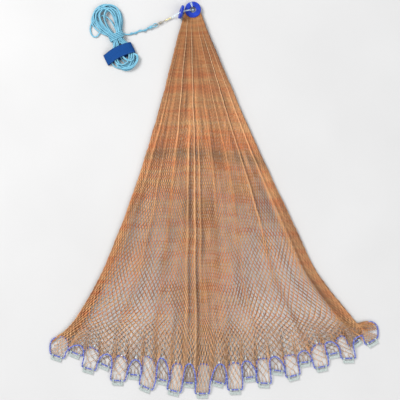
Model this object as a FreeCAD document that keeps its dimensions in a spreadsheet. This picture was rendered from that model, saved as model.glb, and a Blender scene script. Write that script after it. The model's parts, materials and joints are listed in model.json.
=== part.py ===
import FreeCAD, Part

import math
import os

from FreeCAD import Placement, Rotation, Vector

# A hand cast net laid flat: +Y runs from the weighted hem up to the throat ring, +Z is up from the
# ground, and the origin is on the ground under the middle of the net. Millimetres throughout.

DIMENSIONS = {
    "netThickness": 3.0,
    "upperLayerBase": 12.0,
    "foldHeight": 19.0,
    "collarHeight": 16.0,
    "ringCentreX": -74.5,
    "ringCentreY": 683.0,
    "ringDiameter": 58.0,
    "ringHole": 22.0,
    "ringThickness": 14.0,
    "ringBase": 2.0,
    "ringGrooveWidth": 6.0,
    "ringGrooveDepth": 4.0,
    "ringRounding": 3.0,
    "leaderRingDiameter": 49.0,
    "leaderRingHole": 20.0,
    "leaderRingThickness": 9.0,
    "leaderRingRounding": 2.5,
    "leaderDiameter": 1.6,
    "crimpDiameter": 5.4,
    "crimpLength": 24.0,
    "swivelHeight": 6.0,
    "barrelDiameter": 8.0,
    "barrelLength": 12.0,
    "eyeRadius": 4.9,
    "eyeWire": 1.8,
    "pinDiameter": 2.6,
    "ropeDiameter": 5.0,
    "ropeLoopRadius": 7.5,
    "knotDiameter": 11.0,
    "knotLength": 15.0,
    "hankBase": 2.8,
    "hankHeight": 17.0,
    "strapLength": 112.0,
    "strapWidth": 42.0,
    "strapWebbing": 2.4,
    "leadLineDiameter": 5.0,
    "leadLineHeight": 4.2,
    "crownHeight": 13.5,
    "sinkerLength": 38.0,
    "sinkerBarWidth": 9.0,
    "sinkerBarHeight": 5.0,
    "sinkerReach": 13.0,
    "sinkerHookWidth": 6.0,
    "sinkerHookWall": 1.4,
    "sinkerClearance": 0.3,
    "brailDiameter": 1.2,
    "brailHeight": 3.9,
    "brailKnotDiameter": 6.0,
}

# Where the lead line passes each sinker: x, y and the heading of the line in degrees, left to right.
UPPER_SINKERS = [
    (-563, -561, -19),
    (-449, -606, -16),
    (-345, -649, -4),
    (-244, -673, -24),
    (-143, -686, -14),
    (-41, -695.5, 0),
    (77, -682, 2),
    (181, -658, -3),
    (286, -632, 14),
    (388, -600, 12),
    (485, -569, 2),
    (568, -508, 31),
]
LOWER_SINKERS = [
    (-498, -550.5, -22),
    (-392, -593, -24),
    (-287, -628, -6),
    (-183.8, -647, -12),
    (-88, -657, -4),
    (17, -655, -16),
    (129, -637, 8),
    (229.6, -613, -8),
    (327, -583, 8),
    (431.5, -551.5, 12),
    (509, -511, 33),
]
# The crown of the arch between each sinker and the next one of the same layer: x, y.
UPPER_CROWNS = [
    (-486, -520),
    (-374, -552),
    (-280, -572),
    (-184, -570),
    (-84, -592),
    (20, -590),
    (117, -574),
    (212, -566),
    (314, -540),
    (412, -512),
    (510, -492),
]
LOWER_CROWNS = [
    (-430, -530),
    (-330, -566),
    (-238, -560),
    (-137, -584),
    (-40, -586),
    (70, -588),
    (166, -572),
    (270, -556),
    (374, -520),
    (455, -492),
]
# The lead line turns back from one layer to the other round each bottom corner: x, y, z.
LEFT_TURN = (-588.5, -530, 4.2)
RIGHT_TURN = (591.1, -474, 4.2)
LEFT_RETURN = [(-588.5, -502.5, 4.2), (-545, -486, 4.2), (-523, -506, 4.2)]
RIGHT_RETURN = [(591.1, -450, 4.2), (560, -432, 4.2), (534, -456, 4.2)]

# Points on the net's outer edges: top, bulge and bottom of each of the two arcs of a side.
LEFT_EDGE = [(-112, 648), (-226, 217), (-337, -107), (-428, -316), (-522, -470)]
RIGHT_EDGE = [(-40, 648), (144, 217), (296, -107), (371, -262), (500, -425)]
LEFT_FOLD_EDGE = [(-98, 648), (-212, 217), (-322, -107), (-405, -316), (-484, -462)]
RIGHT_FOLD_EDGE = [(-54, 648), (124, 217), (262, -107), (332, -262), (446, -425)]
HEM_BULGE = (-20, -552)

# The running rope's route, from the knot at the swivel to the neck of the hank: x, y, z.
HAND_LINE_ROUTE = [
    (-251, 609, 4.5),
    (-273, 606, 2.6),
    (-293, 597, 2.6),
    (-310, 594, 4.5),
    (-325.5, 598, 8),
]
# The hank's outline seen from above, as the ends and middles of its arcs, in order round it.
HANK_OUTLINE = [
    (-330, 590),
    (-331, 612),
    (-343, 640),
    (-355, 684),
    (-384, 704),
    (-420, 706),
    (-443, 684),
    (-447, 648),
    (-446, 608),
    (-430, 574),
    (-406, 592),
    (-380, 582),
    (-360, 560),
    (-361, 520),
    (-344, 478),
    (-322, 464),
    (-296, 480),
    (-276, 513),
    (-286, 530),
    (-302, 548),
    (-322, 566),
    (-330, 578),
]
STRAP_CENTRE = (-339, 526)
STRAP_HEADING = 25.6

# The leader lines' route over the throat ring's rim and through the leader ring: x, y, z.
LEADER_ROUTE = [
    (-80.0, 682.0, 7.0),
    (-86.0, 681.0, 19.0),
    (-104.0, 676.5, 21.0),
    (-127.2, 668.8, 21.8),
    (-152.0, 655.2, 6.0),
]
LEADER_SPACING = 2.4
TONGUE_START = 12.0
LEADER_END = (-152.0, 655.2)
SWIVEL_HEADING = 205.0
LEADER_RING_CENTRE = (-116.0, 672.0)
LEADER_RING_HEADING = 165.0
LEADER_RING_LEAN = 12.0
PIN_GAP = 0.3

doc = FreeCAD.newDocument("CastNet")
sheet = doc.addObject("Spreadsheet::Sheet", "Dimensions")
for row, (alias, value) in enumerate(DIMENSIONS.items(), start=1):
    sheet.set("A%d" % row, alias)
    sheet.set("B%d" % row, str(value))
    sheet.setAlias("B%d" % row, alias)
doc.recompute()

written = []


def size(alias):
    return float(sheet.get(alias))


def bind(item, **expressions):
    for name, expression in expressions.items():
        item.setExpression(name, expression)
    return item


def keep(item, label):
    """Marks an object as a sub-part, under the label that names its file."""
    item.Label = label
    written.append(item)
    return item


def primitive(kind, name, place=None, **expressions):
    item = doc.addObject(kind, name)
    if place is not None:
        item.Placement = place
    return bind(item, **expressions)


def boolean(kind, name, **inputs):
    item = doc.addObject(kind, name)
    for key, value in inputs.items():
        setattr(item, key, value)
    return item


def solid_feature(label, shape, place=None):
    item = doc.addObject("Part::Feature", label + "_shape")
    item.Shape = shape
    if place is not None:
        item.Placement = place
    return keep(item, label)


def frame_at(x, y, z, heading):
    return Placement(Vector(x, y, z), Rotation(Vector(0, 0, 1), heading))


def ahead(heading):
    angle = math.radians(heading)
    return Vector(math.cos(angle), math.sin(angle), 0)


def inboard(heading):
    angle = math.radians(heading)
    return Vector(-math.sin(angle), math.cos(angle), 0)


# Ropes and lines ------------------------------------------------------------------------------


def rounded_path(points, radii):
    """Straight runs joined by tangent arcs, one radius for each inner point."""
    edges = []
    at = points[0]
    for before, corner, after, radius in zip(points, points[1:], points[2:], radii):
        back = (before - corner).normalize()
        on = (after - corner).normalize()
        turn = math.pi - back.getAngle(on)
        reach = radius * math.tan(turn / 2)
        start = corner + back * reach
        end = corner + on * reach
        middle_way = (back + on).normalize()
        middle = corner + middle_way * (radius / math.cos(turn / 2) - radius)
        if (start - at).Length > 1e-6:
            edges.append(Part.LineSegment(at, start).toShape())
        edges.append(Part.Arc(start, middle, end).toShape())
        at = end
    edges.append(Part.LineSegment(at, points[-1]).toShape())
    return Part.Wire(edges)


def widest_radii(points):
    """The largest radius each corner has room for: 0.45 of its shorter run."""
    radii = []
    for before, corner, after in zip(points, points[1:], points[2:]):
        back = before - corner
        on = after - corner
        turn = math.pi - back.getAngle(on)
        radii.append(0.45 * min(back.Length, on.Length) / math.tan(turn / 2))
    return radii


def tube(name, points, diameter, radii=None):
    """A round line along a route, with its volume compared with section times length."""
    points = [Vector(*p) for p in points]
    room = widest_radii(points)
    radii = [min(pair) for pair in zip(radii, room)] if radii else room
    path = rounded_path(points, radii) if len(points) > 2 else Part.makePolygon(points)
    first = path.Edges[0]
    section = Part.makeCircle(diameter / 2, points[0], first.tangentAt(first.FirstParameter))
    shape = path.makePipeShell([Part.Wire(section)], True, False)
    expected = math.pi * diameter**2 / 4 * path.Length
    least = min(radii) if radii else 0
    if abs(shape.Volume / expected - 1) > 0.01:
        raise RuntimeError("%s: volume %.0f, expected %.0f" % (name, shape.Volume, expected))
    if name:
        print("%s: length %.0f mm, least radius %.1f mm" % (name, path.Length, least))
    return shape


# Netting --------------------------------------------------------------------------------------


def outline_body(label, curves, base_alias, height_expression):
    """A flat piece: a sketch of arcs and lines, padded by a bound height at a bound level."""
    body = doc.addObject("PartDesign::Body", label + "_body")
    sketch = body.newObject("Sketcher::SketchObject", label + "_outline")
    plane = next(f for f in body.Origin.OriginFeatures if f.Role == "XY_Plane")
    sketch.AttachmentSupport = [(plane, "")]
    sketch.MapMode = "FlatFace"
    sketch.addGeometry(curves, False)
    pad = body.newObject("PartDesign::Pad", label + "_pad")
    pad.Profile = sketch
    bind(pad, Length=height_expression)
    if base_alias:
        body.setExpression("Placement.Base.z", "Dimensions." + base_alias)
    return keep(body, label)


def sketch_arc(a, b, c):
    return Part.Arc(Vector(*a, 0), Vector(*b, 0), Vector(*c, 0))


def sketch_line(a, b):
    return Part.LineSegment(Vector(*a, 0), Vector(*b, 0))


def strip_curves(left, right, bulge=None):
    """The closed outline between two sides of two arcs each, with an arched or straight hem."""
    hem = sketch_arc(left[4], bulge, right[4]) if bulge else sketch_line(left[4], right[4])
    return [
        sketch_arc(*left[0:3]),
        sketch_arc(*left[2:5]),
        hem,
        sketch_arc(*right[4:1:-1]),
        sketch_arc(*right[2::-1]),
        sketch_line(right[0], left[0]),
    ]


def netting():
    middle = strip_curves(LEFT_FOLD_EDGE, RIGHT_FOLD_EDGE, HEM_BULGE)
    outline_body("netting_lower", middle, None, "Dimensions.netThickness")
    outline_body("netting_upper", middle, "upperLayerBase", "Dimensions.netThickness")
    left = strip_curves(LEFT_EDGE, LEFT_FOLD_EDGE)
    right = strip_curves(RIGHT_FOLD_EDGE, RIGHT_EDGE)
    outline_body("netting_left_fold", left, None, "Dimensions.foldHeight")
    outline_body("netting_right_fold", right, None, "Dimensions.foldHeight")


def tongue_places(sinkers):
    """Each tongue turns with its own sinker and, less, with the two beside it."""
    headings = [h for x, y, h in sinkers]
    around = zip(headings[:1] + headings, headings, headings[1:] + headings[-1:])
    turned = [(left + 2 * own + right) / 4 for left, own, right in around]
    return [(x, y, heading) for (x, y, h), heading in zip(sinkers, turned)]


def tongue_blocks(name, sinkers, depths, upper):
    """The netting between an arch's legs: flat near the layer, and sloping to the sinker if upper."""
    half = size("sinkerLength") / 2
    thick = size("netThickness")
    base = size("upperLayerBase") if upper else 0.0
    slope_end = 44.0 if upper else TONGUE_START
    blocks = []
    for number, (x, y, heading) in enumerate(tongue_places(sinkers), start=1):
        place = frame_at(x, y, 0, heading)
        flat = doc.addObject("Part::Box", "%s_flat_%d" % (name, number))
        flat.Width = depths[number - 1] - slope_end
        flat.Placement = place.multiply(Placement(Vector(-half, slope_end, base), Rotation()))
        bind(flat, Length="Dimensions.sinkerLength", Height="Dimensions.netThickness")
        blocks.append(flat)
        if upper:
            slope = doc.addObject("Part::Wedge", "%s_slope_%d" % (name, number))
            slope.Xmin, slope.Xmax, slope.X2min, slope.X2max = -half, half, -half, half
            slope.Ymin, slope.Ymax = TONGUE_START, slope_end
            slope.Zmin, slope.Zmax = 2.0, 2.0 + thick
            slope.Z2min, slope.Z2max = base, base + thick
            slope.Placement = place
            blocks.append(slope)
    group = doc.addObject("Part::Compound", name + "_group")
    group.Links = blocks
    return keep(group, name)


def collar():
    """The gathered top of the net: a horseshoe in the ring's groove, opening towards the hem."""
    core = size("ringDiameter") / 2 - size("ringGrooveDepth")
    rim = size("ringDiameter") / 2 + 0.4
    outer = rim + 5.0
    middle = size("ringBase") + size("ringThickness") / 2
    half_groove = size("ringGrooveWidth") / 2 - 0.2
    top = size("collarHeight")
    profile = [
        (core, middle - half_groove),
        (rim, middle - half_groove),
        (rim, 0.0),
        (outer, 0.0),
        (outer, top),
        (rim, top),
        (rim, middle + half_groove),
        (core, middle + half_groove),
    ]
    face = Part.Face(Part.makePolygon([Vector(r, 0, z) for r, z in profile + profile[:1]]))
    sweep = 190.0
    horseshoe = face.revolve(Vector(0, 0, 0), Vector(0, 0, 1), sweep)
    start = 270.0 - sweep / 2
    place = frame_at(size("ringCentreX"), size("ringCentreY"), 0, start)
    solid_feature("netting_collar", horseshoe, place)


# Throat ring, lashing and leader ----------------------------------------------------------------


def ring_solid(name, diameter, hole, thickness, rounding, place):
    disc = primitive("Part::Cylinder", name + "_disc", Radius=diameter + " / 2", Height=thickness)
    bore = primitive("Part::Cylinder", name + "_bore", Radius=hole + " / 2", Height=thickness)
    washer = boolean("Part::Cut", name + "_washer", Base=disc, Tool=bore)
    doc.recompute()
    soft = doc.addObject("Part::Fillet", name + "_soft")
    soft.Base = washer
    round_edges = [
        number
        for number, edge in enumerate(washer.Shape.Edges, start=1)
        if isinstance(edge.Curve, Part.Circle)
    ]
    amount = size(rounding)
    soft.Edges = [(number, amount, amount) for number in round_edges]
    soft.Placement = place
    return soft


def throat_ring():
    place = Placement(Vector(size("ringCentreX"), size("ringCentreY"), size("ringBase")), Rotation())
    names = ["ringDiameter", "ringHole", "ringThickness"]
    soft = ring_solid("throat", *["Dimensions." + n for n in names], "ringRounding", place)
    lift = (size("ringThickness") - size("ringGrooveWidth")) / 2
    groove_base = place.multiply(Placement(Vector(0, 0, lift), Rotation()))
    outer = primitive("Part::Cylinder", "groove_outer", groove_base)
    bind(outer, Radius="Dimensions.ringDiameter / 2 + 2", Height="Dimensions.ringGrooveWidth")
    inner = primitive("Part::Cylinder", "groove_inner", groove_base)
    radius = "Dimensions.ringDiameter / 2 - Dimensions.ringGrooveDepth"
    bind(inner, Radius=radius, Height="Dimensions.ringGrooveWidth")
    groove = boolean("Part::Cut", "groove", Base=outer, Tool=inner)
    keep(boolean("Part::Cut", "throat_ring_cut", Base=soft, Tool=groove), "throat_ring")


def ring_lashing():
    """Turns of clear line that pass through the hole and over the ring's rim."""
    wire = 1.2
    gap = 0.25
    inner = size("ringHole") / 2 - gap - wire / 2
    outer = size("ringDiameter") / 2 + gap + wire / 2
    low = size("ringBase") - gap - wire / 2
    high = size("ringBase") + size("ringThickness") + gap + wire / 2
    corner = 3.0
    centre = Vector(size("ringCentreX"), size("ringCentreY"), 0)
    turns = []
    for angle in (99, 106, 113):
        out = ahead(angle)
        corners = [(inner, low), (inner, high), (outer, high), (outer, low)]
        loop = [centre + out * r + Vector(0, 0, z) for r, z in corners]
        start = (loop[3] + loop[0]) * 0.5
        route = [start, *loop, start]
        radii = [corner / 2] + [corner] * 2 + [corner / 2]
        turns.append(tube("", [tuple(p) for p in route], wire, radii))
    solid_feature("ring_lashing", Part.makeCompound(turns))


def leader():
    side = inboard(SWIVEL_HEADING)
    lines = []
    for sign in (-1, 1):
        shift = side * (sign * LEADER_SPACING / 2)
        route = [tuple(Vector(*p) + shift) for p in LEADER_ROUTE]
        lines.append(tube("leader line", route, size("leaderDiameter")))
    solid_feature("leader_lines", Part.makeCompound(lines))

    lean = Rotation(Vector(0, 0, 1), LEADER_RING_HEADING)
    lean = lean.multiply(Rotation(Vector(0, 1, 0), 90 - LEADER_RING_LEAN))
    radius = size("leaderRingDiameter") / 2
    tilt = math.radians(LEADER_RING_LEAN)
    half = size("leaderRingThickness") / 2
    lift = radius * math.cos(tilt) + half * math.sin(tilt)
    axis = lean.multVec(Vector(0, 0, 1))
    base = Vector(*LEADER_RING_CENTRE, lift) - axis * half
    names = ["leaderRingDiameter", "leaderRingHole", "leaderRingThickness"]
    bound = ["Dimensions." + n for n in names]
    ring = ring_solid("leader_eyelet", *bound, "leaderRingRounding", Placement(base, lean))
    keep(ring, "leader_ring")


def along_swivel(distance):
    return Vector(*LEADER_END, size("swivelHeight")) + ahead(SWIVEL_HEADING) * distance


def axial(distance):
    """A placement whose Z runs along the swivel."""
    turn = Rotation(Vector(0, 0, 1), SWIVEL_HEADING).multiply(Rotation(Vector(0, 1, 0), 90))
    return Placement(along_swivel(distance), turn)


def swivel():
    crimp_length = size("crimpLength")
    crimp = primitive("Part::Cylinder", "crimp_tube", axial(0.6))
    bind(crimp, Radius="Dimensions.crimpDiameter / 2", Height="Dimensions.crimpLength")
    keep(crimp, "crimp_sleeve")

    ring_reach = size("eyeRadius") + size("eyeWire") / 2
    near_eye = crimp_length + 0.8 + ring_reach
    barrel_start = near_eye + ring_reach + 1.4
    barrel_end = barrel_start + size("barrelLength")
    pin_depth = 3.6
    far_eye = barrel_end + 1.4 + ring_reach

    shell = primitive("Part::Cylinder", "barrel_shell", axial(barrel_start))
    bind(shell, Radius="Dimensions.barrelDiameter / 2", Height="Dimensions.barrelLength")
    tools = []
    for name, start in (("near", barrel_start), ("far", barrel_end - pin_depth - PIN_GAP)):
        hole = primitive("Part::Cylinder", name + "_hole", axial(start))
        bind(hole, Radius="Dimensions.pinDiameter / 2 + 0.1")
        hole.Height = pin_depth + PIN_GAP
        tools.append(hole)
    waist = primitive("Part::Torus", "barrel_waist", axial(barrel_start + size("barrelLength") / 2))
    bind(waist, Radius1="Dimensions.barrelDiameter / 2 + 0.6")
    waist.Radius2 = 1.5
    holes = boolean("Part::MultiFuse", "barrel_tools", Shapes=[*tools, waist])
    keep(boolean("Part::Cut", "barrel_cut", Base=shell, Tool=holes), "swivel_barrel")

    for label, eye, start, height in (
        ("swivel_leader_eye", near_eye, near_eye + ring_reach - 0.4, 0.4 + 1.4 + pin_depth),
        ("swivel_line_eye", far_eye, barrel_end - pin_depth, 0.4 + 1.4 + pin_depth),
    ):
        upright = Rotation(Vector(0, 0, 1), SWIVEL_HEADING).multiply(Rotation(Vector(1, 0, 0), 90))
        ring = primitive("Part::Torus", label + "_ring", Placement(along_swivel(eye), upright))
        bind(ring, Radius1="Dimensions.eyeRadius", Radius2="Dimensions.eyeWire / 2")
        pin = primitive("Part::Cylinder", label + "_pin", axial(start))
        bind(pin, Radius="Dimensions.pinDiameter / 2")
        pin.Height = height
        keep(boolean("Part::Fuse", label + "_fused", Base=ring, Tool=pin), label)
    print("swivel line eye at", along_swivel(far_eye), "barrel middle", along_swivel(barrel_start + 6))
    return far_eye


# Hand line ------------------------------------------------------------------------------------


def hand_line(eye):
    loop_centre = eye + size("ropeLoopRadius")
    flat = Placement(along_swivel(loop_centre), Rotation())
    loop = primitive("Part::Torus", "rope_loop", flat)
    bind(loop, Radius1="Dimensions.ropeLoopRadius", Radius2="Dimensions.ropeDiameter / 2")
    keep(loop, "hand_line_loop")
    knot_start = loop_centre + size("ropeLoopRadius") + size("ropeDiameter") / 2 + 0.1
    knot = primitive("Part::Cylinder", "rope_knot", axial(knot_start))
    bind(knot, Radius="Dimensions.knotDiameter / 2", Height="Dimensions.knotLength")
    keep(knot, "hand_line_knot")
    exit_point = along_swivel(knot_start + size("knotLength") + 0.5)
    print("hand line leaves its knot at", exit_point)
    route = [tuple(exit_point), *HAND_LINE_ROUTE]
    solid_feature("hand_line", tube("hand line", route, size("ropeDiameter")))

    points = HANK_OUTLINE + HANK_OUTLINE[:1]
    curves = [sketch_arc(*points[i : i + 3]) for i in range(0, len(HANK_OUTLINE), 2)]
    outline_body("hand_line_hank", curves, "hankBase", "Dimensions.hankHeight")


def wrist_strap():
    """Webbing sewn into a flat loop that is wrapped round the hank."""
    place = frame_at(*STRAP_CENTRE, 0, STRAP_HEADING)
    length, width = size("strapLength"), size("strapWidth")
    web = size("strapWebbing")
    corner = Vector(-length / 2, -width / 2, 0)
    outer = primitive("Part::Box", "strap_outer", place.multiply(Placement(corner, Rotation())))
    bind(outer, Length="Dimensions.strapLength", Width="Dimensions.strapWidth")
    bind(outer, Height="Dimensions.hankBase + Dimensions.hankHeight + Dimensions.strapWebbing + 0.4")
    inner_corner = corner + Vector(web, -1, web)
    inner = primitive("Part::Box", "strap_inner", place.multiply(Placement(inner_corner, Rotation())))
    bind(inner, Length="Dimensions.strapLength - 2 * Dimensions.strapWebbing")
    bind(inner, Width="Dimensions.strapWidth + 2")
    bind(inner, Height="Dimensions.hankBase + Dimensions.hankHeight + 0.4 - Dimensions.strapWebbing")
    keep(boolean("Part::Cut", "strap_cut", Base=outer, Tool=inner), "wrist_strap")


# Hem: lead line, sinkers and brail lines --------------------------------------------------------


def hem_route(sinkers, crowns, crown_height, inset):
    """Points and corner radii of a scalloped line: straight past each sinker, arched between them."""
    level = size("leadLineHeight")
    reach = size("sinkerLength") / 2 + 8.0
    bend = 6.0
    route = []
    for number, (x, y, heading) in enumerate(sinkers):
        middle = Vector(x, y, level)
        way = ahead(heading)
        if number:
            crown_x, crown_y = crowns[number - 1]
            previous = sinkers[number - 1]
            span_way = Vector(x - previous[0], y - previous[1], 0).normalize()
            crown = Vector(crown_x, crown_y, crown_height)
            rise_way = inboard((heading + previous[2]) / 2)
            first = Vector(*previous[:2], level) + ahead(previous[2]) * reach
            last = middle - way * reach
            lift = Vector(0, 0, crown_height - level)
            depth = (crown - first).dot(rise_way)
            leg_rise = min(40.0, 0.55 * depth)
            route.append((first + rise_way * leg_rise + lift, 30.0))
            route.append((crown - span_way * inset, 13.0))
            route.append((crown + span_way * inset, 13.0))
            route.append((last + rise_way * leg_rise + lift, 30.0))
        route.append((middle - way * reach, bend))
        route.append((middle + way * reach, bend))
    return route


def lead_lines():
    diameter = size("leadLineDiameter")
    upper = hem_route(UPPER_SINKERS, UPPER_CROWNS, size("crownHeight"), 15.0)
    lower = hem_route(LOWER_SINKERS, LOWER_CROWNS, size("leadLineHeight"), 15.0)
    left, right = Vector(*LEFT_TURN), Vector(*RIGHT_TURN)
    upper_points = [left, *[p for p, r in upper], right]
    solid_feature(
        "lead_line_upper",
        tube("upper lead line", [tuple(p) for p in upper_points], diameter, [r for p, r in upper]),
    )
    left_run = [Vector(*p) for p in LEFT_RETURN]
    right_run = [Vector(*p) for p in reversed(RIGHT_RETURN)]
    middle = [p for p, r in lower]
    joint = Vector(0, 0.1, 0)
    lower_points = [left + joint, *left_run, *middle, *right_run, right + joint]
    radii = [14.0, 14.0, 20.0, *[r for p, r in lower], 20.0, 14.0, 14.0]
    solid_feature(
        "lead_line_lower",
        tube("lower lead line", [tuple(p) for p in lower_points], diameter, radii),
    )


def sinker(label, x, y, heading):
    """An iron staple: a bar that lies on the ground, with an arm and a hook round the line at each end."""
    place = frame_at(x, y, 0, heading)
    half = size("sinkerLength") / 2
    hook_width = size("sinkerHookWidth")
    hook_bore = size("leadLineDiameter") / 2 + size("sinkerClearance")
    hook_outer = hook_bore + size("sinkerHookWall")
    level = size("leadLineHeight")
    reach = size("sinkerReach")
    bar_width = size("sinkerBarWidth")

    def at(dx, dy, dz, turn=Rotation()):
        return place.multiply(Placement(Vector(dx, dy, dz), turn))

    bar = primitive("Part::Box", label + "_bar", at(-half, -reach - bar_width / 2, 0))
    bind(bar, Length="Dimensions.sinkerLength", Width="Dimensions.sinkerBarWidth")
    bind(bar, Height="Dimensions.sinkerBarHeight")
    along = Rotation(Vector(0, 1, 0), 90)
    solids = [bar]
    bores = []
    for side, start in (("left", -half), ("right", half - hook_width)):
        arm = primitive("Part::Box", label + "_arm_" + side, at(start, -reach, 0.2))
        bind(arm, Length="Dimensions.sinkerHookWidth", Height="Dimensions.sinkerBarHeight - 0.6")
        arm.Width = reach - hook_bore
        hook = primitive("Part::Cylinder", label + "_hook_" + side, at(start, 0, level, along))
        bind(hook, Height="Dimensions.sinkerHookWidth")
        hook.Radius = hook_outer
        bore = primitive("Part::Cylinder", label + "_bore_" + side, at(start - 1, 0, level, along))
        bind(bore, Height="Dimensions.sinkerHookWidth + 2")
        bore.Radius = hook_bore
        solids += [arm, hook]
        bores.append(bore)
    staple = boolean("Part::MultiFuse", label + "_staple", Shapes=solids)
    cutter = boolean("Part::MultiFuse", label + "_bores", Shapes=bores)
    keep(boolean("Part::Cut", label + "_cut", Base=staple, Tool=cutter), label)


def brails():
    """Lines fanning out inside the net from below the ring to a knot on each arch crown."""
    diameter = size("brailDiameter")
    level = size("brailHeight")
    knot_radius = size("brailKnotDiameter") / 2
    targets = [(x, y, True) for x, y in UPPER_CROWNS[1:-2]]
    targets += [(x, y, False) for x, y in LOWER_CROWNS[:-1]]
    targets.sort()
    fan_x, fan_y, spacing = -75.0, 628.0, 1.6
    lines = []
    knots = []
    total = 0.0
    for number, (x, y, upper) in enumerate(targets):
        start = Vector(fan_x + (number - (len(targets) - 1) / 2) * spacing, fan_y, level)
        crown = Vector(x, y, 0)
        back = (Vector(start.x, start.y, 0) - crown).normalize()
        knot_level = size("crownHeight") - 2.6 if upper else level + 0.4
        knot = crown + back * (knot_radius + 3.6) + Vector(0, 0, knot_level)
        low = crown + back * (knot_radius + 34.0) + Vector(0, 0, level)
        end = knot + back * (knot_radius + 0.1)
        route = [start, low, end] if upper else [start, end]
        lines.append(tube("", [tuple(p) for p in route], diameter, [40.0] if upper else []))
        total += (end - start).Length
        knots.append(Part.makeSphere(knot_radius, knot))
    print("brail lines: %d, about %.0f mm each" % (len(targets), total / len(targets)))
    solid_feature("brail_lines", Part.makeCompound(lines))
    solid_feature("brail_knots", Part.makeCompound(knots))
    width = (len(targets) - 1) * spacing / 2 + 1.5
    top = Part.makeCircle(4.0, Vector(size("ringCentreX"), 0, 0))
    flat = Part.Ellipse(Vector(0, 0, 0), width, 0.8)
    mouth = Part.Wire(flat.toShape())
    mouth.rotate(Vector(0, 0, 0), Vector(1, 0, 0), 90)
    mouth.translate(Vector(fan_x, fan_y + 0.2, level))
    bundle = Part.Wire(top)
    bundle.translate(Vector(-size("ringCentreX"), 0, 0))
    bundle.rotate(Vector(0, 0, 0), Vector(1, 0, 0), 90)
    bundle.translate(Vector(size("ringCentreX"), size("ringCentreY") - 35, 7.5))
    gather = Part.makeLoft([mouth, bundle], True, True)
    solid_feature("brail_gather", gather)


def hem_depths(sinkers, limit):
    """How far each sinker's tongue reaches inboard before it meets the layer's own hem arc."""
    hem = Part.Arc(
        Vector(*LEFT_FOLD_EDGE[4], 0), Vector(*HEM_BULGE, 0), Vector(*RIGHT_FOLD_EDGE[4], 0)
    ).toShape()
    half = size("sinkerLength") / 2
    depths = []
    for x, y, heading in tongue_places(sinkers):
        way, up = ahead(heading), inboard(heading)
        nearest = limit
        for side in (-half, 0, half):
            foot = Vector(x, y, 0) + way * side
            ray = Part.LineSegment(foot, foot + up * 260).toShape()
            gap = hem.distToShape(ray)
            if gap[0] < 0.01:
                nearest = min(nearest, (gap[1][0][0] - foot).Length - 0.5)
        depths.append(nearest)
    return depths


def hem():
    lead_lines()
    number = 0
    for layer, sinkers in (("upper", UPPER_SINKERS), ("lower", LOWER_SINKERS)):
        depths = hem_depths(sinkers, 56.0)
        tongue_blocks("netting_tongues_" + layer, sinkers, depths, layer == "upper")
        for x, y, heading in sinkers:
            number += 1
            sinker("sinker_%02d" % number, x, y, heading)


netting()
collar()
throat_ring()
ring_lashing()
leader()
hand_line(swivel())
wrist_strap()
hem()
brails()
doc.recompute()

for item in doc.Objects:
    if "Invalid" in item.State or "Error" in item.State:
        raise RuntimeError("%s did not compute: %s" % (item.Name, item.State))
os.makedirs("parts", exist_ok=True)
box = FreeCAD.BoundBox()
on_cord = ("hand_line", "hand_line_loop", "hand_line_knot", "hand_line_hank", "wrist_strap")
for item in written:
    shape = item.Shape
    if shape.isNull() or not shape.isValid() or not shape.Solids:
        raise RuntimeError("%s has no valid solid" % item.Label)
    shape.exportStep("parts/%s.step" % item.Label)
    if item.Label not in on_cord:
        box.add(shape.BoundBox)
print("%d sub-parts, box %s, centre %.2f %.2f" % (len(written), box, box.Center.x, box.Center.y))
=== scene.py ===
import json
import math

import bpy
import numpy as np
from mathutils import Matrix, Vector


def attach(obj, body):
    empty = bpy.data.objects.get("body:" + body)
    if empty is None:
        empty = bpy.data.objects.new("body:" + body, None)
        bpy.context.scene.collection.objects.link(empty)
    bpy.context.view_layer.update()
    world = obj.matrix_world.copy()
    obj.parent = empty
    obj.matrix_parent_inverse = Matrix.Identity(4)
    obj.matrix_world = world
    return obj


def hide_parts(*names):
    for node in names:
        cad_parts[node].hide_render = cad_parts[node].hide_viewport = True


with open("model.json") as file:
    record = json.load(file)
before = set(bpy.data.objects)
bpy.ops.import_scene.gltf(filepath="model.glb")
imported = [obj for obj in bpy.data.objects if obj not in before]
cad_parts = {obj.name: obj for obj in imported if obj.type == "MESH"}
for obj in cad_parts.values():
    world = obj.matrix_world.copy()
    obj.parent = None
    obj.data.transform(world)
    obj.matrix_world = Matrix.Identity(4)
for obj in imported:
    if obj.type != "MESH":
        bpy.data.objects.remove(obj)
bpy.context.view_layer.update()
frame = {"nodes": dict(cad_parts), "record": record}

UP = np.array([0.0, 0.0, 1.0])

# The hem ------------
# Where the lead line passes each sinker: x, y in metres and the line's heading in degrees.
UPPER_SINKERS = [
    (-0.563, -0.561, -19),
    (-0.449, -0.606, -16),
    (-0.345, -0.649, -4),
    (-0.244, -0.673, -24),
    (-0.143, -0.686, -14),
    (-0.041, -0.6955, 0),
    (0.077, -0.682, 2),
    (0.181, -0.658, -3),
    (0.286, -0.632, 14),
    (0.388, -0.6, 12),
    (0.485, -0.569, 2),
    (0.568, -0.508, 31),
]
LOWER_SINKERS = [
    (-0.498, -0.5505, -22),
    (-0.392, -0.593, -24),
    (-0.287, -0.628, -6),
    (-0.1838, -0.647, -12),
    (-0.088, -0.657, -4),
    (0.017, -0.655, -16),
    (0.129, -0.637, 8),
    (0.2296, -0.613, -8),
    (0.327, -0.583, 8),
    (0.4315, -0.5515, 12),
    (0.509, -0.511, 33),
]
UPPER_CROWNS = [
    (-0.486, -0.52),
    (-0.374, -0.552),
    (-0.28, -0.572),
    (-0.184, -0.57),
    (-0.084, -0.592),
    (0.02, -0.59),
    (0.117, -0.574),
    (0.212, -0.566),
    (0.314, -0.54),
    (0.412, -0.512),
    (0.51, -0.492),
]
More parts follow.
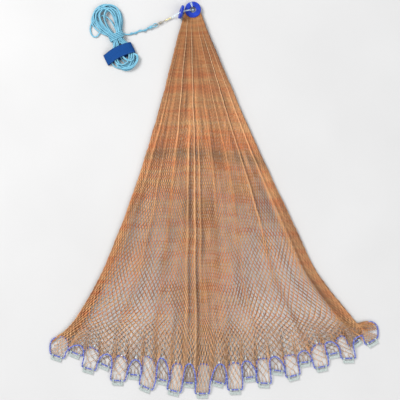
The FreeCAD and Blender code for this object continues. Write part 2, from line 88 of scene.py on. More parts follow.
LOWER_CROWNS = [
    (-0.43, -0.53),
    (-0.33, -0.566),
    (-0.238, -0.56),
    (-0.137, -0.584),
    (-0.04, -0.586),
    (0.07, -0.588),
    (0.166, -0.572),
    (0.27, -0.556),
    (0.374, -0.52),
    (0.455, -0.492),
]
LEFT_TURN = (-0.5885, -0.53, 0.0042)
RIGHT_TURN = (0.5911, -0.474, 0.0042)
LEFT_RETURN = [(-0.5885, -0.5025, 0.0042), (-0.545, -0.486, 0.0042), (-0.523, -0.506, 0.0042)]
RIGHT_RETURN = [(0.5911, -0.45, 0.0042), (0.56, -0.432, 0.0042), (0.534, -0.456, 0.0042)]
LINE_LEVEL = 0.0042
CROWN_LEVEL = 0.0135
LEAD_LINE = 0.005
LEAD_LINE_PITCH = 0.016
LINE_SPACING = 0.0013

# The net's outer edges and the inner edges of its folded sides: x, y from the throat down.
LEFT_EDGE = [(-0.112, 0.648), (-0.226, 0.217), (-0.337, -0.107), (-0.428, -0.316), (-0.522, -0.47)]
RIGHT_EDGE = [(-0.04, 0.648), (0.144, 0.217), (0.296, -0.107), (0.371, -0.262), (0.5, -0.425)]
LEFT_FOLD = [(-0.098, 0.648), (-0.212, 0.217), (-0.322, -0.107), (-0.405, -0.316), (-0.484, -0.462)]
RIGHT_FOLD = [(-0.054, 0.648), (0.124, 0.217), (0.262, -0.107), (0.332, -0.262), (0.446, -0.425)]

RING_CENTRE = (-0.0745, 0.683)
RING_MIDDLE = 0.009
RING_GROOVE = 0.0262
GROOVE_FROM, GROOVE_TO = 186, 354
THROAT_Y = 0.648
FAN_END_Y = -0.43

# The hand line's route from its knot to the hank's neck.
HAND_LINE_ROUTE = [
    (-0.23366, 0.61712, 0.006),
    (-0.251, 0.609, 0.0045),
    (-0.273, 0.606, 0.0026),
    (-0.293, 0.597, 0.0026),
    (-0.310, 0.594, 0.0045),
    (-0.3255, 0.598, 0.008),
]
ROPE = 0.005
NECK = (-0.3475, 0.583)
NECK_HEADING = 112.0
NECK_TOP, NECK_BOTTOM = 0.006, 0.016

WEBBING_WIDTH = 0.0405
WEBBING = 0.0020
STRAP_CENTRE = (-0.339, 0.526)
STRAP_HEADING = 25.6
STRAP_HALF = 0.0545
STRAP_BOW = 0.0050
STRAP_SHIFT = 0.001

SWIVEL_HEADING = 205.0
SWIVEL_HEIGHT = 0.006
LEADER_END = (-0.152, 0.6552)
LEADER_ROUTE = [
    (-0.0800, 0.6820, 0.007),
    (-0.0860, 0.6810, 0.019),
    (-0.1040, 0.6765, 0.021),
    (-0.1272, 0.6688, 0.0218),
    (-0.1520, 0.6552, 0.006),
]
LEADER_SPACING = 0.0024
LEADER_LINE = 0.0016
BRAIL_LINES = 17
BRAIL_LINE = 0.0012


def heading_vector(degrees):
    angle = math.radians(degrees)
    return np.array([math.cos(angle), math.sin(angle), 0.0])


def side_vector(degrees):
    return heading_vector(degrees + 90)


# Materials ------------


class Material:
    """A node material, with short names for the nodes that its pattern is made of."""

    def __init__(self, name, roughness, **shader):
        self.data = bpy.data.materials.new(name)
        self.data.use_nodes = True
        self.tree = self.data.node_tree
        self.shader = self.tree.nodes["Principled BSDF"]
        self.shader.inputs["Roughness"].default_value = roughness
        for key, value in shader.items():
            self.shader.inputs[key.replace("_", " ")].default_value = value

    def node(self, kind, **values):
        item = self.tree.nodes.new(kind)
        for key, value in values.items():
            setattr(item, key, value)
        return item

    def link(self, a, b):
        self.tree.links.new(a, b)

    def place(self, scale=(1, 1, 1)):
        where = self.node("ShaderNodeTexCoord")
        mapping = self.node("ShaderNodeMapping")
        mapping.inputs["Scale"].default_value = scale
        self.link(where.outputs["Object"], mapping.inputs["Vector"])
        return mapping.outputs["Vector"]

    def noise(self, scale, detail=3.0, roughness=0.5, stretch=(1, 1, 1)):
        item = self.node("ShaderNodeTexNoise")
        item.inputs["Scale"].default_value = scale
        item.inputs["Detail"].default_value = detail
        item.inputs["Roughness"].default_value = roughness
        self.link(self.place(stretch), item.inputs["Vector"])
        return item.outputs["Fac"]

    def ramp(self, factor, *stops):
        item = self.node("ShaderNodeValToRGB")
        for end, (position, colour) in zip(item.color_ramp.elements, stops):
            end.position = position
            end.color = (*colour, 1)
        self.link(factor, item.inputs["Fac"])
        return item.outputs["Color"]

    def mask(self, factor, *stops):
        """A ramp between two levels of grey, each a position and a level."""
        return self.ramp(factor, *((position, (level,) * 3) for position, level in stops))

    def feed(self, socket, value):
        """Sets a socket to a number or a colour, or links it to another node's output."""
        if isinstance(value, (int, float)):
            socket.default_value = value
        elif isinstance(value, tuple):
            socket.default_value = (*value, 1)
        else:
            self.link(value, socket)

    def mix(self, factor, a, b, blend="MIX"):
        item = self.node("ShaderNodeMix", data_type="RGBA", blend_type=blend)
        self.feed(item.inputs["Factor"], factor)
        self.feed(item.inputs[6], a)
        self.feed(item.inputs[7], b)
        return item.outputs[2]

    def maths(self, operation, a, b, clamp=False):
        item = self.node("ShaderNodeMath", operation=operation, use_clamp=clamp)
        self.feed(item.inputs[0], a)
        self.feed(item.inputs[1], b)
        return item.outputs["Value"]

    def attribute(self, name):
        return self.node("ShaderNodeAttribute", attribute_name=name).outputs["Fac"]

    def colour(self, output):
        self.link(output, self.shader.inputs["Base Color"])

    def rough(self, output, low, high):
        item = self.node("ShaderNodeMapRange")
        item.inputs["To Min"].default_value = low
        item.inputs["To Max"].default_value = high
        self.link(output, item.inputs["Value"])
        self.link(item.outputs["Result"], self.shader.inputs["Roughness"])

    def bump(self, output, strength, distance):
        item = self.node("ShaderNodeBump")
        item.inputs["Strength"].default_value = strength
        item.inputs["Distance"].default_value = distance
        self.link(output, item.inputs["Height"])
        self.link(item.outputs["Normal"], self.shader.inputs["Normal"])


def twine_material(name, pale, dyed, hem):
    """Knotted multifilament twine: dye bands across the net, mottling, darker towards the throat as soil
    and as painted shade of the deep pleats, streaks with painted shade and highlights, and painted
    highlights and shade on the pleats.
    """
    made = Material(name, 0.8, Sheen_Weight=0.12)
    mottle = made.noise(42, 4, 0.65, (1, 1, 0.2))
    fibre = made.noise(900, 2, 0.6)
    across = made.noise(44, 5, 0.7, (0.16, 1.6, 0.16))
    base = made.ramp(mottle, (0.3, tuple(c * 0.76 for c in pale)), (0.7, pale))
    uneven = made.maths("MULTIPLY", made.maths("SUBTRACT", across, 0.44), 2.6)
    banded = made.mix(made.maths("ADD", made.attribute("dye"), uneven, True), base, dyed)
    worn = made.mix(made.attribute("hem"), banded, hem)
    # Darker towards the throat: soil, and painted shade of the deep pleats there. The folds get extra
    # painted shadow through the same attribute.
    soiled_and_shaded = made.mix(made.attribute("soil"), worn, (0.50, 0.42, 0.34), "MULTIPLY")
    # Streaks of lighter and darker strands, plus painted shade on the lower layer and the seam and painted
    # highlights on the knots.
    streak_and_shade = made.ramp(made.attribute("streak_and_shade"), (0.05, (0.46, 0.43, 0.42)), (0.85, (1.0, 1.0, 1.0)))
    streaked_and_shaded = made.mix(1.0, soiled_and_shaded, streak_and_shade, "MULTIPLY")
    # Painted highlight on the pleats' crests and painted shade in their hollows.
    ridge = made.attribute("ridge")
    crest = made.mask(ridge, (0.52, 0), (1.0, 0.62))
    raised = made.mix(crest, streaked_and_shaded, (1.0, 0.66, 0.36))
    hollow = made.ramp(ridge, (0.1, (0.42, 0.38, 0.36)), (0.48, (1.0, 1.0, 1.0)))
    pleats_lit_and_shaded = made.mix(1.0, raised, hollow, "MULTIPLY")
    shade = made.ramp(fibre, (0.3, (0.78, 0.76, 0.74)), (0.6, (1.0, 1.0, 1.0)))
    made.colour(made.mix(0.8, pleats_lit_and_shaded, shade, "MULTIPLY"))
    made.bump(fibre, 0.5, 0.0004)
    return made.data


def rope_material(name, pale, deep, fleck):
    """Laid or braided rope: a lighter colour on each strand's crown and a deeper one in the hollows, as
    painted light and painted shade, and flecks.
    """
    made = Material(name, 0.55, Sheen_Weight=0.2)
    lay_shading = made.attribute("lay_shading")
    soil = made.noise(60, 3, 0.6)
    fibre = made.noise(1400, 2, 0.6)
    # Painted light on the strands' crowns and painted shade in the hollows between them.
    body = made.ramp(lay_shading, (0.1, deep), (0.75, pale))
    flecked = made.mix(made.mask(fibre, (0.56, 0), (0.7, 0.55)), body, fleck)
    made.colour(made.mix(made.mask(soil, (0.35, 0.35), (0.6, 0)), flecked, deep))
    made.bump(fibre, 0.4, 0.0003)
    return made.data


def plastic_material():
    """Moulded blue plastic with a fine cast skin and lighter scuffs."""
    made = Material("ring_plastic", 0.38, Specular_IOR_Level=0.3)
    cloud = made.noise(70, 3, 0.5)
    scuff = made.noise(420, 4, 0.7, (1, 1, 0.3))
    base = made.ramp(cloud, (0.3, (0.004, 0.022, 0.27)), (0.7, (0.010, 0.048, 0.46)))
    made.colour(made.mix(made.mask(scuff, (0.6, 0), (0.78, 0.4)), base, (0.06, 0.14, 0.56)))
    made.rough(scuff, 0.22, 0.55)
    made.bump(scuff, 0.15, 0.0003)
    return made.data


def clear_material():
    """Nylon monofilament: milky, glossy and faintly blue."""
    made = Material("clear_line", 0.2, IOR=1.52, Coat_Weight=0.4)
    cloud = made.noise(260, 2, 0.5)
    made.colour(made.ramp(cloud, (0.3, (0.50, 0.66, 0.70)), (0.7, (0.82, 0.90, 0.92))))
    made.rough(cloud, 0.12, 0.35)
    return made.data


def zinc_material():
    """Zinc-plated iron: pale greenish grey, with spangle, dark pits and specks of rust."""
    made = Material("sinker_zinc", 0.42, Metallic=0.35)
    spangle = made.noise(190, 3, 0.6)
    pits = made.noise(650, 3, 0.65)
    rust = made.noise(46, 4, 0.7)
    base = made.ramp(spangle, (0.28, (0.28, 0.33, 0.305)), (0.72, (0.54, 0.59, 0.565)))
    pitted = made.mix(made.mask(pits, (0.2, 0.6), (0.42, 0)), base, (0.15, 0.17, 0.16))
    made.colour(made.mix(made.mask(rust, (0.66, 0), (0.78, 0.6)), pitted, (0.30, 0.17, 0.09)))
    made.rough(spangle, 0.30, 0.6)
    made.bump(pits, 0.35, 0.0005)
    return made.data


def metal_material(name, pale, dark, metallic):
    """Tarnished metal with fine scratches along it."""
    made = Material(name, 0.3, Metallic=metallic)
    tarnish = made.noise(240, 4, 0.65)
    scratch = made.noise(900, 2, 0.5, (1, 0.2, 1))
    made.colour(made.ramp(tarnish, (0.3, dark), (0.62, pale)))
    made.rough(scratch, 0.25, 0.5)
    made.bump(scratch, 0.2, 0.0002)
    return made.data


def webbing_material():
    """Woven strap: ribs across it, a heather of lighter threads, and darker sewn edges."""
    made = Material("strap_webbing", 0.8, Specular_IOR_Level=0.15)
    weave = made.attribute("weave")
    edge = made.attribute("edge")
    heather = made.noise(700, 3, 0.7)
    body = made.ramp(weave, (0.1, (0.002, 0.022, 0.11)), (0.8, (0.006, 0.070, 0.27)))
    speck = made.mix(made.mask(heather, (0.5, 0), (0.75, 0.35)), body, (0.02, 0.13, 0.36))
    made.colour(made.mix(edge, speck, (0.002, 0.016, 0.09)))
    made.bump(heather, 0.4, 0.0004)
    return made.data


# Making meshes ------------


def smooth_step(x, a, b):
    t = np.clip((x - a) / (b - a), 0, 1)
    return t * t * (3 - 2 * t)


def mesh_piece(name, vertices, faces, body, material, attributes=None):
    """A smooth mesh that rides on a body, with one value per vertex for each attribute."""
    mesh = bpy.data.meshes.new(name)
    mesh.from_pydata(vertices.tolist(), [], faces)
    mesh.validate()
    for key, values in (attributes or {}).items():
        layer = mesh.attributes.new(key, "FLOAT", "POINT")
        layer.data.foreach_set("value", np.ascontiguousarray(values, dtype=np.float32).ravel())
    mesh.polygons.foreach_set("use_smooth", np.ones(len(mesh.polygons), dtype=bool))
    piece = bpy.data.objects.new(name, mesh)
    bpy.context.collection.objects.link(piece)
    piece.data.materials.append(material)
    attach(piece, body)
    return piece


def grid_faces(rings, sides, closed_ends=True, first=0):
    """Faces of one tube whose vertices run ring by ring."""
    faces = []
    for ring in range(rings - 1):
        a = first + ring * sides
        for side in range(sides):
            b = (side + 1) % sides
            faces.append((a + side, a + b, a + sides + b, a + sides + side))
    if closed_ends:
        faces.append(tuple(first + side for side in reversed(range(sides))))
        last = first + (rings - 1) * sides
        faces.append(tuple(last + side for side in range(sides)))
    return faces


def two_skins(outer, inner):
    """A sleeve's vertices and faces: two open tubes, each (rings, sides, 3), joined at both ends."""
    rings, sides, _ = outer.shape
    skin = rings * sides
    vertices = np.concatenate([outer.reshape(-1, 3), inner.reshape(-1, 3)])
    faces = grid_faces(rings, sides, False)
    faces += [tuple(reversed(face)) for face in grid_faces(rings, sides, False, skin)]
    for ring, flip in ((0, True), (rings - 1, False)):
        for side in range(sides):
            a, b = ring * sides + side, ring * sides + (side + 1) % sides
            c, d = a + skin, b + skin
            faces.append((a, c, d, b) if flip else (a, b, d, c))
    return vertices, faces


def tangents(paths):
    along = np.empty_like(paths)
    along[..., 1:-1, :] = paths[..., 2:, :] - paths[..., :-2, :]
    along[..., 0, :] = paths[..., 1, :] - paths[..., 0, :]
    along[..., -1, :] = paths[..., -1, :] - paths[..., -2, :]
    return along / np.maximum(np.linalg.norm(along, axis=-1, keepdims=True), 1e-12)


def rings_about(side, lift, sides, turned=0.0):
    """Unit rings round every point of a path, from its side and lift vectors."""
    angles = np.arange(sides) * 2 * math.pi / sides + turned
    return side[..., None, :] * np.cos(angles)[:, None] + lift[..., None, :] * np.sin(angles)[:, None]


def tubes(paths, radii, sides):
    """Vertices and faces of many tubes at once: paths (tubes, rings, 3), radii (tubes, rings)."""
    count, rings, _ = paths.shape
    along = tangents(paths)
    side = np.cross(along, UP)
    side /= np.maximum(np.linalg.norm(side, axis=-1, keepdims=True), 1e-9)
    ring = rings_about(side, np.cross(side, along), sides, math.pi / 2)
    vertices = paths[..., None, :] + ring * radii[..., None, None]
    one = grid_faces(rings, sides)
    step = rings * sides
    faces = [tuple(corner + tube * step for corner in face) for tube in range(count) for face in one]
    return vertices.reshape(-1, 3), faces


def reaches(points):
    """How far along the path each of its points lies."""
    return np.r_[0, np.cumsum(np.linalg.norm(np.diff(points, axis=0), axis=1))]


def carried_frames(points):
    """Side and lift vectors that turn as little as possible along a path."""
    along = tangents(points)
    side = np.cross(along[0], UP)
    if np.linalg.norm(side) < 1e-6:
        side = np.array([1.0, 0, 0])
    sides = np.empty_like(points)
    for number, way in enumerate(along):
        side = side - way * side.dot(way)
        side /= np.linalg.norm(side)
        sides[number] = side
    return sides, np.cross(along, sides)


def line_points(points, spacing):
    """Points at an even spacing along the NURBS line of these control points."""
    data = bpy.data.curves.new("route", "CURVE")
    data.dimensions = "3D"
    data.resolution_u = 10
    spline = data.splines.new("NURBS")
    spline.points.add(len(points) - 1)
    for point, place in zip(spline.points, points):
        point.co = (*place, 1.0)
    spline.order_u = 3
    spline.use_endpoint_u = True
    curve = bpy.data.objects.new("route", data)
    bpy.context.collection.objects.link(curve)
    mesh = bpy.data.meshes.new_from_object(curve)
    found = np.array([v.co[:] for v in mesh.vertices])
    bpy.data.meshes.remove(mesh)
    bpy.data.objects.remove(curve)
    bpy.data.curves.remove(data)
    found = found[np.r_[True, np.linalg.norm(np.diff(found, axis=0), axis=1) > 1e-7]]
    reach = reaches(found)
    even = np.linspace(0, reach[-1], max(3, int(round(reach[-1] / spacing)) + 1))
    return np.stack([np.interp(even, reach, found[:, axis]) for axis in range(3)], axis=1)


def laid_rope(points, diameter, pitch, strands=3, sides=6):
    """Strands twisted round a path, and how far each point lies out of the hollows."""
    side, lift = carried_frames(points)
    wound = reaches(points) / pitch * 2 * math.pi
    orbit = diameter * 0.26
    thick = diameter / 2 - orbit
    vertices, faces, lays = [], [], []
    for strand in range(strands):
        turn = wound + strand * 2 * math.pi / strands
        centre = points + orbit * (side * np.cos(turn)[:, None] + lift * np.sin(turn)[:, None])
        ring = rings_about(*carried_frames(centre), sides)
        found = (centre[:, None, :] + ring * thick).reshape(-1, 3)
        faces += grid_faces(len(points), sides, True, strand * len(found))
        vertices.append(found)
        lays.append(np.linalg.norm(found - np.repeat(points, sides, axis=0), axis=1) / (diameter / 2))
    return np.concatenate(vertices), faces, np.concatenate(lays)


def braided_piece(name, points, diameter, *nodes):
    """A braided rope of the hand line: one skin, raised where its plaits cross over."""
    sides, pitch, carriers = 12, 0.009, 4
    angles = np.arange(sides) * 2 * math.pi / sides
    wave = reaches(points)[:, None] / pitch * 2 * math.pi
    plait = np.cos(carriers * angles[None, :] + wave) * np.cos(carriers * angles[None, :] - wave)
    radius = diameter / 2 * (1 + 0.07 * plait)
    ring = rings_about(*carried_frames(points), sides)
    vertices = (points[:, None, :] + ring * radius[..., None]).reshape(-1, 3)
    faces = grid_faces(len(points), sides)
    # Painted light where the plaits cross over, and painted shade between them.
    painted = {"lay_shading": 0.5 + 0.5 * plait.ravel()}
    piece = mesh_piece(name, vertices, faces, "hand_line", hand_rope, painted)
    if nodes:
        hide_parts(*nodes)
    return piece


# The lead line ------------


def hem_points(sinkers, crowns, crown_level):
    """The scalloped line's control points: straight through each sinker's hooks, arched between."""
    inner, reach, inset, longest_leg = 0.019, 0.027, 0.015, 0.040
    lift = np.array([0, 0, crown_level - LINE_LEVEL])
    points = []
    for number, (x, y, heading) in enumerate(sinkers):
        middle = np.array([x, y, LINE_LEVEL])
        way = heading_vector(heading)
        if number:
            before_x, before_y, before = sinkers[number - 1]
            start = np.array([before_x, before_y, LINE_LEVEL]) + heading_vector(before) * reach
            end = middle - way * reach
            span = np.array([x - before_x, y - before_y, 0])
            span /= np.linalg.norm(span)
            crown = np.array([*crowns[number - 1], crown_level])
            crown[:2] += 0.0045 * math.sin(37 * x + 5), 0.0040 * math.sin(91 * y + 2)
            rise = side_vector((heading + before) / 2)
            leg = min(longest_leg, 0.55 * float((crown - start).dot(rise)))
            tilt = np.array([0, 0.003 * math.sin(53 * x), 0])
            points += [start + rise * leg + lift, crown - span * inset - tilt, crown + span * inset + tilt]
            points.append(end + rise * leg + lift)
        points += [middle - way * reach, middle - way * inner, middle + way * inner, middle + way * reach]
    return points


upper_route = [LEFT_TURN, *hem_points(UPPER_SINKERS, UPPER_CROWNS, CROWN_LEVEL), RIGHT_TURN]
lower_route = [
    LEFT_TURN,
    *LEFT_RETURN,
    *hem_points(LOWER_SINKERS, LOWER_CROWNS, LINE_LEVEL),
    *reversed(RIGHT_RETURN),
    RIGHT_TURN,
]
upper_line = line_points(upper_route, LINE_SPACING)
lower_line = line_points(lower_route, LINE_SPACING)

lead_rope = rope_material("lead_line", (0.09, 0.13, 0.52), (0.02, 0.025, 0.18), (0.34, 0.37, 0.78))
for label, line in (("upper", upper_line), ("lower", lower_line)):
    vertices, faces, lay_shading = laid_rope(line, LEAD_LINE, LEAD_LINE_PITCH)
    # How far each point lies out of the hollows, for the rope's painted light and shade.
    painted = {"lay_shading": lay_shading}
    rope = mesh_piece("lead_line_rope_" + label, vertices, faces, "net", lead_rope, painted)
    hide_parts("lead_line_" + label)

# Netting ------------

STRANDS = 148
ROWS = 108
TWINE = 0.00112
KNOT = 0.00165
SWING = 0.44
TIED_ABOVE, TIED_BELOW = 8, 3
HEM_SHARE = 0.15
SEAM_Y = 0.152
# Redder bands of dye: y, half width and strength.
DYE_BANDS = [
    (0.50, 0.022, 0.45),
    (0.438, 0.014, 0.55),
    (0.385, 0.014, 0.9),
    (0.30, 0.02, 0.5),
    (0.235, 0.012, 0.7),
    (0.195, 0.024, 1.0),
    (0.115, 0.014, 0.75),
    (0.075, 0.01, 0.55),
    (0.005, 0.018, 0.85),
    (-0.05, 0.01, 0.5),
    (-0.10, 0.014, 0.8),
    (-0.165, 0.01, 0.45),
    (-0.21, 0.02, 0.6),
    (-0.28, 0.014, 0.5),
    (-0.325, 0.018, 0.7),
    (-0.40, 0.016, 0.55),
]
# Pleats run down from the throat: share across the net, width, how tightly they bunch, and from
# where to where they run, as shares of the way down to the hem.
PLEATS = [
    (0.055, 0.010, 1.4, 0.10, 0.70),
    (0.15, 0.010, 1.6, 0.35, 0.72),
    (0.25, 0.009, 3.0, 0.00, 0.42),
    (0.37, 0.011, 2.6, 0.36, 0.97),
    (0.43, 0.008, 3.6, 0.05, 1.10),
    (0.475, 0.007, 2.4, 0.35, 0.80),
    (0.58, 0.009, 1.4, 0.36, 0.60),
    (0.70, 0.007, 1.6, 0.00, 0.36),
    (0.82, 0.008, 3.2, 0.06, 0.66),
    (0.93, 0.009, 2.4, 0.10, 0.84),
]


def edge_curve(points):
    """A smooth edge of the net through the points: its x for a given y, and straight past its ends."""
    xs, ys = np.array(points)[::-1].T
    slopes = np.gradient(xs, ys)

    def edge(y):
        inside = np.clip(y, ys[0], ys[-1])
        i = np.clip(np.searchsorted(ys, inside) - 1, 0, len(ys) - 2)
        span = ys[i + 1] - ys[i]
        t = (inside - ys[i]) / span
        to_next = t * t * (3 - 2 * t)
        leaving, arriving = t * (1 - t) ** 2, t * t * (t - 1)
        found = xs[i] * (1 - to_next) + xs[i + 1] * to_next
        found = found + span * (leaving * slopes[i] + arriving * slopes[i + 1])
        return found + (y - inside) * np.where(y > inside, slopes[-1], slopes[0])

    return edge


left_edge, right_edge = edge_curve(LEFT_EDGE), edge_curve(RIGHT_EDGE)
left_fold, right_fold = edge_curve(LEFT_FOLD), edge_curve(RIGHT_FOLD)


def spread_by(density):
    """Maps a share of the strands to a share of the width, closer where the density is higher."""
    shares = np.linspace(0, 1, 1601)
    room = 1 / density(shares)
    across = np.r_[0, np.cumsum((room[1:] + room[:-1]) / 2)]
    return lambda u: np.interp(u, shares, across / across[-1])


def pleat_bump(u, centre, width):
    return np.exp(-(((u - centre) / width) ** 2))


def pleat_height(u):
    return sum(tight * pleat_bump(u, c, w) for c, w, tight, _, _ in PLEATS)


def pleat_runs(v, first, last, fade):
    """1 where a pleat runs, fading out at both its ends."""
    return smooth_step(v, first - 0.08, first + 0.04) * (1 - smooth_step(v, last - fade, last))


def pleat_rise(u, v):
    """How far the pleats stand up, each only where it runs."""
    return sum(tight * pleat_bump(u, c, w) * pleat_runs(v, a, b, 0.16) for c, w, tight, a, b in PLEATS)


def pleat_light(u, v):
    """From 0 in a pleat's shaded hollow to 1 on its crest, and 0.5 where there is none."""
    found = 0
    for c, w, tight, first, last in PLEATS:
        crest = pleat_bump(u, c, w) - 0.8 * pleat_bump(u, c + 1.9 * w, 1.1 * w)
        found = found + tight / 4 * crest * pleat_runs(v, first, last, 0.12)
    return np.clip(0.5 + 0.5 * found, 0, 1)


pleated = spread_by(lambda u: 1 + 0.55 * pleat_height(u))
opened = spread_by(
    lambda u: 1
    + 1.5 * pleat_bump(u, 0.47, 0.17)
    + 1.8 * (pleat_bump(u, 0, 0.035) + pleat_bump(u, 1, 0.035))
    + 0.25 * pleat_height(u)
)


def hem_places(line, shares, start, end):
    """Where strands meet the lead line, spaced by its progress across the net."""
    reach = reaches(line)
    progress = np.r_[0, np.cumsum(np.abs(np.diff(line[:, 0])))] + 0.30 * reach
    first = np.interp(start, reach, progress)
    last = np.interp(reach[-1] - end, reach, progress)
    wanted = first + (last - first) * shares
    return np.stack([np.interp(wanted, progress, line[:, axis]) for axis in range(3)], axis=-1)


def soft_noise(place, amount, seed, reach):
    """A gentle, repeatable wander that neighbouring strands share, so that their knots stay joined."""
    draw = np.random.default_rng(seed)
    moved = np.zeros_like(place)
    for axis in range(3):
        for _ in range(5):
            wave = draw.uniform(0.5, 1.6) * 2 * math.pi / reach
            turn = draw.uniform(0, 2 * math.pi)
            phase = draw.uniform(0, 2 * math.pi)
            along = place[..., 0] * math.cos(turn) + place[..., 1] * math.sin(turn)
            moved[..., axis] += np.sin(along * wave + phase)
    return moved * amount / 5


def to_the_hem(fan_place, foot):
    """Bends the strands' last rings from the fan down to their feet on the lead line."""
    end = fan_place.shape[1] - 1
    last = int(round((1 - HEM_SHARE) * end))
    t = np.clip((np.arange(end + 1) - last) / (end - last), 0, 1)[None, :, None]
    begin = fan_place[:, last : last + 1]
    stop = foot[:, None, :]
    slope = (fan_place[:, last] - fan_place[:, last - 8]) * (end - last) / 8
    leave, arrive = slope[:, None, :] * 0.7, (stop - begin) * 0.9
    bent = (
        (2 * t**3 - 3 * t**2 + 1) * begin
        + (t**3 - 2 * t**2 + t) * leave
        + (-2 * t**3 + 3 * t**2) * stop
        + (t**3 - t**2) * arrive
    )
    return np.where(t > 0, bent, fan_place)


def gathered(place, share, v, throat_level):
    """Draws the strands' upper ends together in the throat ring's groove."""
    angle = np.radians(GROOVE_FROM + (GROOVE_TO - GROOVE_FROM) * share)
    x = RING_CENTRE[0] + RING_GROOVE * np.cos(angle)
    y = RING_CENTRE[1] + RING_GROOVE * np.sin(angle)
    groove = np.stack([x, y, np.full(len(share), throat_level)], axis=-1)
    gather = smooth_step(v, 0.0, 0.045)[None, :, None]
    return groove[:, None, :] * (1 - gather) + place * gather


def strand_paths(share, line, level, throat_level, start, end, edges, seed):
    """Zigzag strands of a diamond net, two rings to each half row: paths and radii."""
    rings = 2 * ROWS + 1
    row = np.arange(rings) / 2.0
    v = row / ROWS
    u = share[:, None] * np.ones(rings)

    left, right = edges
    fan = np.clip(v / (1 - HEM_SHARE), 0, 1)
    wave = 0.007 * np.sin(5.1 * u * math.pi + 1.3) + 0.005 * np.sin(11.7 * u * math.pi)
    y = THROAT_Y + (FAN_END_Y - THROAT_Y) * fan + wave * smooth_step(fan, 0.02, 0.3)
    opening = smooth_step(v, 0.35, 0.85)
    across = pleated(u) * (1 - opening) + opened(u) * opening
    x = left(y) + (right(y) - left(y)) * across
    place = to_the_hem(
        np.stack([x, y, level(across, u, y)], axis=-1), hem_places(line, opened(share), start, end)
    )
    place = gathered(place, share, v, throat_level)

    # The rings next to the throat ring and to the lead line stay where they are tied.
    held = np.ones((1, rings, 1))
    held[:, :TIED_ABOVE] = 0
    held[:, -TIED_BELOW:] = 0
    wander = soft_noise(place, 0.0022, seed, 0.16) + soft_noise(place, 0.0008, seed + 50, 0.045)
    wander[..., 2] *= 0.4
    place = place + wander * held

    # Each strand swings nearly half way to its neighbours in turn, and is knotted to them there.
    gaps = np.diff(place, axis=0)
    gaps = np.concatenate([gaps[:1], gaps, gaps[-1:]])
    number = np.arange(len(share))[:, None]
    swing = np.where((number + row.astype(int)) % 2 == 0, SWING, -SWING)
    between = row % 1 > 0.25
    swing = np.where(between, 0.0, swing)[..., None]
    towards = np.where(swing > 0, gaps[1:], gaps[:-1])
    place = place + towards * swing * held
    place[..., 2] = np.maximum(place[..., 2], TWINE)
    radii = np.where(between, TWINE, KNOT) * np.ones((len(share), 1))
    return place, radii


def band_level(place):
    """y along the net's bands, which bow a little across it."""
    x = place[..., 0]
    return place[..., 1] + 0.010 * np.sin(7 * x) - 0.012 * np.cos(9 * x + 0.5)


def dye_of(place, seed):
    """How reddish the dye is, band by band down the net, uneven across it."""
    draw = np.random.default_rng(seed)
    y = band_level(place)
    uneven = draw.uniform(0.55, 1.15, (place.shape[0], 1))
    smooth = np.convolve(uneven[:, 0], np.ones(9) / 9, mode="same")[:, None]
    dye = sum(power * np.exp(-(((y - c) / w) ** 2)) for c, w, power in DYE_BANDS)
    return np.clip(0.10 + 0.75 * dye * smooth, 0, 1)


def seam_shade(place, seed):
    """Painted shade on the rows of slack, open meshes where two lengths of netting are joined, whose gaps
    show the shaded layer below.
    """
    draw = np.random.default_rng(seed + 3)
    strand = draw.uniform(0.3, 1.0, (place.shape[0], 1))
    return 0.55 * strand * np.exp(-(((band_level(place) - SEAM_Y) / 0.020) ** 2))


def streak_of(place, seed):
    """Lighter and darker strands, drifting slowly down each one."""
    draw = np.random.default_rng(seed)
    strands, rings = place.shape[:2]
    wide = draw.normal(0, 1, (strands, 14))
    wide = (wide + np.roll(wide, 1, axis=0) + np.roll(wide, 2, axis=0)) / 1.7
    down = np.linspace(0, 13, rings)
    tone = np.stack([np.interp(down, np.arange(14), row) for row in wide])
    return np.clip(0.58 + 0.24 * tone, 0, 1)


net_twine = twine_material("netting_twine", (0.95, 0.54, 0.235), (0.79, 0.275, 0.09), (0.72, 0.48, 0.27))


def netting_piece(name, place, radii, share, shade, seed, nodes, shadow=0.0):
    """A piece of netting: its strands as tubes, coloured by dye, wear, soil and streaks, with painted
    shade and highlights for the throat, the lower layer, the seam, the knots and the pleats.
    """
    vertices, faces = tubes(place, radii, 3)
    # Painted highlight on the knots, and slightly darker twine between them.
    knot_highlight = np.where(radii > TWINE * 1.1, 0.16, -0.08)
    painted = {
        "dye": dye_of(place, seed),
        "hem": 0.55 * smooth_step(-place[..., 1], 0.42, 0.62),
        # Soil and painted shade towards the throat, with the shadow value adding painted shadow over the
        # whole piece.
        "soil": shadow + (1 - shadow) * smooth_step(place[..., 1], 0.20, 0.58),
        # Random streaks, less painted shade for the lower layer and the seam, plus the knots' painted
        # highlight.
        "streak_and_shade": np.clip(streak_of(place, seed) - shade - seam_shade(place, seed) + knot_highlight, 0, 1),
        "ridge": pleat_light(share[:, None], np.linspace(0, 1, place.shape[1])[None, :]),
    }
    painted = {key: np.repeat(values.ravel(), 3) for key, values in painted.items()}
    piece = mesh_piece(name, vertices, faces, "net", net_twine, painted)
    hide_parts(*nodes)
    return piece


def turned_edge(across):
    """1 at the very edge of a layer, where it turns over into the other, and 0 inside it."""
    return smooth_step(np.abs(across - 0.5), 0.485, 0.5)


def upper_level(across, u, y):
    """The upper layer's height: over the folded sides, down at the edges and up on the pleats."""
    rim = smooth_step(np.abs(across - 0.5), 0.42, 0.475)
    pleat = 0.0013 * pleat_rise(u, (THROAT_Y - y) / (THROAT_Y - FAN_END_Y) * (1 - HEM_SHARE))
    return 0.0125 + 0.0055 * rim - 0.008 * turned_edge(across) + pleat


def lower_level(across, u, y):
    return 0.0018 + 0.003 * turned_edge(across)


def fold_level(base):
    """The height of one thickness of a folded side, which waves a little across it."""
    return lambda across, u, y: base + 0.0012 * np.sin(across * 19 + base * 900)


